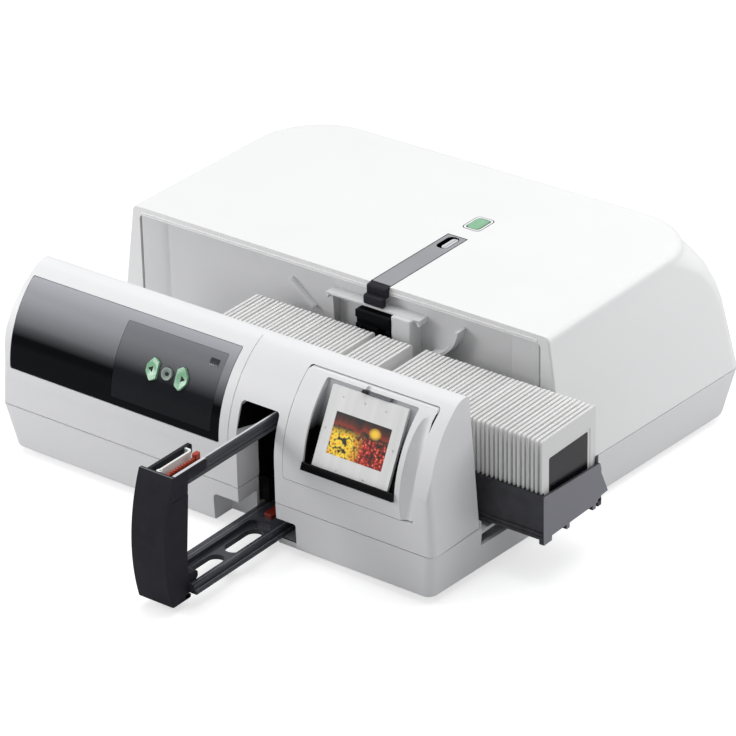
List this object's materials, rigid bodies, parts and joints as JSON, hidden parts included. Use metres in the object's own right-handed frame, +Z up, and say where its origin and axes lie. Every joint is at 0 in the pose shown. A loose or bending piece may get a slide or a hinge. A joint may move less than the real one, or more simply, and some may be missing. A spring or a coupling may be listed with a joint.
{
  "type": "film negative scanner",
  "caption": "Desktop scanner for framed slides and negatives, with a straight slide magazine, a changer arm that draws out of the front, push keys and a lit slide viewer.",
  "frame": {"origin": "middle of the whole box, on the floor under the feet", "axes": "+X to the right along the front, +Y to the rear, +Z up; at rest the arm is drawn out to the front and the magazine stands out at the right"},
  "size_m": [0.3546, 0.3712, 0.1105],
  "materials": {
    "shell_grey": "fine satin texture",
    "shell_light": "fine satin texture",
    "wall_grey": "satin",
    "gloss_black": "polished",
    "matt_black": "fine texture",
    "tray_grey": "fine texture",
    "smoked_lens": "polished",
    "key_green": "satin, lit from behind",
    "key_grey": "satin",
    "board": "solder mask",
    "diffuser": "opal",
    "mount_white": "satin",
    "film": "polished film",
    "slider_grey": "satin",
    "signal_red": "satin",
    "gear_cream": "moulded nylon",
    "steel": "plain",
    "lens_barrel": "satin black",
    "lamp_metal": "plain",
    "foot_rubber": "matt"
  },
  "bodies": {
    "casing": {"base_shell": "shell_grey", "front_cover": "shell_grey", "fascia_panel": "gloss_black", "control_plate": "gloss_black", "indicator_lens": "smoked_lens", "key_board": "board", "viewer_frame": "shell_grey", "viewer_surround": "gloss_black", "viewer_clip": "matt_black", "viewer_diffuser": "diffuser", "viewer_lamp_board": "board", "rear_cover": "shell_light", "channel_wall": "wall_grey", "channel_floor": "wall_grey", "slide_port": "gloss_black", "power_bezel": "matt_black", "arm_motor": "steel", "feed_motor": "steel", "scan_gate": "matt_black", "scan_frame": "matt_black", "guide_rods": "steel", "carriage_motor": "steel", "scan_lamp": "lamp_metal", "main_board": "board", "data_ports": "steel", "power_inlet": "matt_black", "rear_panel": "wall_grey", "rubber_feet": "foot_rubber", "case_screws": "steel"},
    "changer_arm": {"arm_handle": "matt_black", "arm_upper_rail": "tray_grey", "arm_lower_frame": "tray_grey", "arm_slide_spring": "mount_white", "arm_stop": "signal_red"},
    "eject_lever": {"eject_lever": "signal_red"},
    "arm_pinion": {"arm_pinion": "gear_cream"},
    "arm_motor_pinion": {"arm_motor_pinion": "gear_cream"},
    "magazine": {"magazine_tray": "tray_grey", "slide_mounts_left": "mount_white", "slide_mounts_middle": "mount_white", "slide_mounts_right": "mount_white", "slide_films": "film"},
    "feed_pinion": {"feed_pinion": "gear_cream"},
    "feed_gear": {"feed_gear": "gear_cream"},
    "viewer_slide": {"viewer_mount": "mount_white", "viewer_film": "film"},
    "jam_slider": {"jam_slider_strip": "slider_grey", "jam_slider_hook": "matt_black"},
    "power_button": {"power_button": "key_green"},
    "key_back": {"key_back": "key_green"},
    "key_select": {"key_select": "key_grey"},
    "key_forward": {"key_forward": "key_green"},
    "mains_rocker": {"mains_rocker": "matt_black"},
    "scan_carriage": {"scan_carriage": "matt_black", "scan_lens": "lens_barrel", "sensor_board": "board"},
    "carriage_screw": {"carriage_screw": "steel"}
  },
  "joints": [
    {"name": "arm_draw", "type": "slide", "parent": "casing", "child": "changer_arm", "axis": [0, 1, 0], "range_m": [0, 0.089]},
    {"name": "lever_turn", "type": "hinge", "parent": "changer_arm", "child": "eject_lever", "pos_m": [0.02686, -0.1726, 0.077], "axis": [0, 0, 1], "range_deg": [0, 4.5]},
    {"name": "arm_pinion_turn", "type": "hinge", "parent": "casing", "child": "arm_pinion", "pos_m": [0.00621, -0.0674, 0.011], "axis": [0, 0, 1], "range_deg": [0, 730]},
    {"name": "arm_motor_turn", "type": "hinge", "parent": "casing", "child": "arm_motor_pinion", "pos_m": [-0.00889, -0.0674, 0.023], "axis": [0, 0, 1], "range_deg": [-1094, 0]},
    {"name": "magazine_feed", "type": "slide", "parent": "casing", "child": "magazine", "axis": [1, 0, 0], "range_m": [-0.14663, 0.08625]},
    {"name": "feed_pinion_turn", "type": "hinge", "parent": "casing", "child": "feed_pinion", "pos_m": [0.02996, 0.015, 0.029], "axis": [0, 0, 1], "range_deg": [-1313, 773]},
    {"name": "feed_gear_turn", "type": "hinge", "parent": "casing", "child": "feed_gear", "pos_m": [0.04649, 0.02819, 0.029], "axis": [0, 0, 1], "range_deg": [-339, 575]},
    {"name": "viewer_tip", "type": "hinge", "parent": "casing", "child": "viewer_slide", "pos_m": [0.08616, -0.09567, 0.05694], "axis": [1, 0, 0], "range_deg": [0, 10]},
    {"name": "jam_slide", "type": "slide", "parent": "casing", "child": "jam_slider", "axis": [0, -1, 0], "range_m": [0, 0.014]},
    {"name": "power_press", "type": "slide", "parent": "casing", "child": "power_button", "axis": [0, 0, -1], "range_m": [0, 0.001], "stiffness_N_per_m": 500, "springref_m": -0.0003},
    {"name": "back_press", "type": "slide", "parent": "casing", "child": "key_back", "axis": [0, 0.8932, -0.4496], "range_m": [0, 0.0008], "stiffness_N_per_m": 400, "springref_m": -0.0003},
    {"name": "select_press", "type": "slide", "parent": "casing", "child": "key_select", "axis": [0, 0.8932, -0.4496], "range_m": [0, 0.0008], "stiffness_N_per_m": 400, "springref_m": -0.0003},
    {"name": "forward_press", "type": "slide", "parent": "casing", "child": "key_forward", "axis": [0, 0.8932, -0.4496], "range_m": [0, 0.0008], "stiffness_N_per_m": 400, "springref_m": -0.0003},
    {"name": "rocker_turn", "type": "hinge", "parent": "casing", "child": "mains_rocker", "pos_m": [0.02941, 0.1806, 0.041], "axis": [1, 0, 0], "range_deg": [-8, 8]},
    {"name": "scan_travel", "type": "slide", "parent": "casing", "child": "scan_carriage", "axis": [0, 1, 0], "range_m": [-0.018, 0.018]},
    {"name": "screw_turn", "type": "hinge", "parent": "casing", "child": "carriage_screw", "pos_m": [-0.00404, 0.0646, 0.0385], "axis": [0, 1, 0], "range_deg": [-1621, 1621]}
  ],
  "couplings": [
    {"joint": "arm_pinion_turn", "follows": "arm_draw", "rad_per_m": 142.86},
    {"joint": "arm_motor_turn", "follows": "arm_draw", "rad_per_m": -214.29},
    {"joint": "feed_pinion_turn", "follows": "magazine_feed", "rad_per_m": 156.1},
    {"joint": "feed_gear_turn", "follows": "magazine_feed", "rad_per_m": -68.295},
    {"joint": "screw_turn", "follows": "scan_travel", "rad_per_m": 1570.8}
  ]
}
